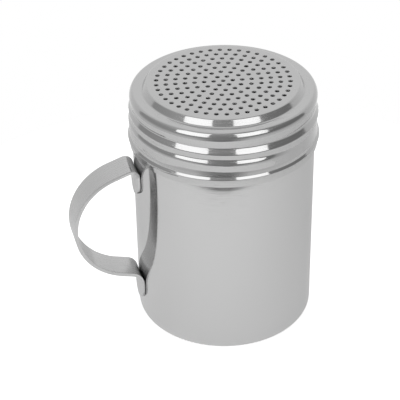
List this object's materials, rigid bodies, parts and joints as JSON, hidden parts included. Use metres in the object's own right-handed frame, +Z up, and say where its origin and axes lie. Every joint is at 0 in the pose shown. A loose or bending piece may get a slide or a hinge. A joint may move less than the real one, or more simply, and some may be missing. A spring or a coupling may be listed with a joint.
{
  "type": "spice shaker",
  "caption": "Round steel hand dredge with a screw-on perforated shaker lid, a plain drawn cup and a bent strap handle welded to its side.",
  "frame": {"origin": "centre of the base, on the table that the cup stands on", "axes": "+Z up along the cup's axis; the handle points to -X, turned 15 degrees towards -Y"},
  "size_m": [0.0925, 0.0696, 0.096],
  "materials": {
    "cup_steel": "satin stainless sheet, lightly brushed round the wall",
    "handle_steel": "polished stainless strap",
    "weld_steel": "fused stainless, out of sight between strap and wall",
    "lid_steel": "bright stainless sheet, pressed and punched"
  },
  "bodies": {
    "cup": {"cup": "cup_steel", "handle": "handle_steel", "spot_welds": "weld_steel"},
    "lid": {"lid": "lid_steel"}
  },
  "joints": [
    {"name": "lid_lift", "type": "slide", "parent": "cup", "child": "lid", "axis": [0, 0, 1], "range_m": [0, 0.03]}
  ]
}
